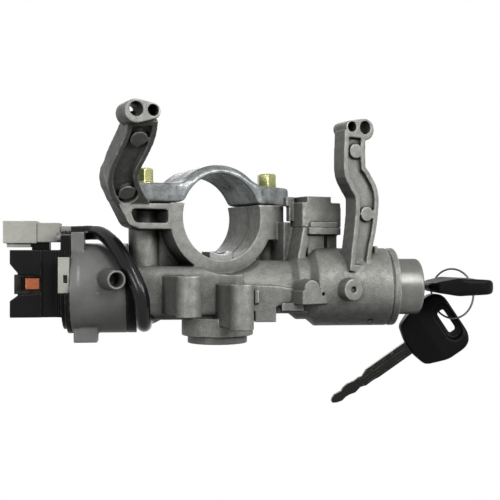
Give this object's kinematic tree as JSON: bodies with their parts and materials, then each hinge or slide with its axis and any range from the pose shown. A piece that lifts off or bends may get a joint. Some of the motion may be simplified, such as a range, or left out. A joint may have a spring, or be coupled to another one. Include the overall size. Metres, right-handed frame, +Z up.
{
  "type": "ignition switch",
  "caption": "Ignition lock and steering lock in a cast housing with a column clamp, boss arms, a key switch, a warning lead and keys on a ring.",
  "frame": {"origin": "column tube axis, at the middle of the clamp's length", "axes": "+Y along the column away from the driver, +Z up towards the clamp cap, +X to the key side"},
  "size_m": [0.263, 0.1346, 0.1654],
  "materials": {
    "casting": "as cast",
    "clamp_cap": "satin cast",
    "cup": "smooth cast",
    "yellow_zinc": "yellow passivated",
    "lock_zinc": "turned satin",
    "steel": "plain",
    "brass": "plain",
    "copper": "plain",
    "key_metal": "dark nickel",
    "key_black": "fine grain",
    "black_plastic": "moulded",
    "white_nylon": "moulded",
    "sleeve": "glossy"
  },
  "bodies": {
    "housing": {"lock_housing": "casting", "clamp_cap": "clamp_cap", "clamp_bolts": "yellow_zinc", "interlock_cover": "casting", "cylinder_case": "lock_zinc", "case_pin": "steel", "bolt_cover": "cup", "bolt_spring": "steel", "switch_cup": "cup", "seal_ring": "black_plastic", "switch_base": "black_plastic", "fixed_contacts": "copper", "terminals": "copper", "carrier": "white_nylon", "switch_screw": "steel", "connector_shell": "white_nylon", "connector_insert": "white_nylon", "connector_pins": "brass", "connector_foot": "black_plastic", "warning_lead": "sleeve", "warning_switch": "black_plastic"},
    "rotor": {"lock_plug": "brass", "wafers": "brass", "cam_shaft": "steel", "switch_rotor": "white_nylon", "contact_bridge": "copper"},
    "bolt": {"lock_bolt": "steel"},
    "key": {"key_blade": "key_metal", "key_head": "key_black"},
    "ring": {"key_ring": "steel"},
    "spare": {"spare_blade": "key_metal", "spare_head": "key_black"}
  },
  "joints": [
    {"name": "plug_turn", "type": "hinge", "parent": "housing", "child": "rotor", "pos_m": [0, -0.013, -0.04], "axis": [-0.9205, 0.3907, 0], "range_deg": [0, 125]},
    {"name": "bolt_slide", "type": "slide", "parent": "housing", "child": "bolt", "axis": [0, 0, -1], "range_m": [0, 0.0055], "deforming": ["bolt_spring"]},
    {"name": "key_slide", "type": "slide", "parent": "rotor", "child": "key", "axis": [0.9205, -0.3907, 0], "range_m": [0, 0.065]},
    {"name": "ring_swing", "type": "hinge", "parent": "key", "child": "ring", "pos_m": [0.13955, -0.07082, -0.04], "axis": [0, 0, 1], "range_deg": [-20, 0]},
    {"name": "spare_swing", "type": "hinge", "parent": "ring", "child": "spare", "pos_m": [0.1346, -0.05112, -0.0585], "axis": [-0.3907, -0.9205, 0], "range_deg": [0, 35]}
  ],
  "couplings": [
    {"joint": "bolt_slide", "follows": "plug_turn", "m_per_rad": 0.00252}
  ]
}
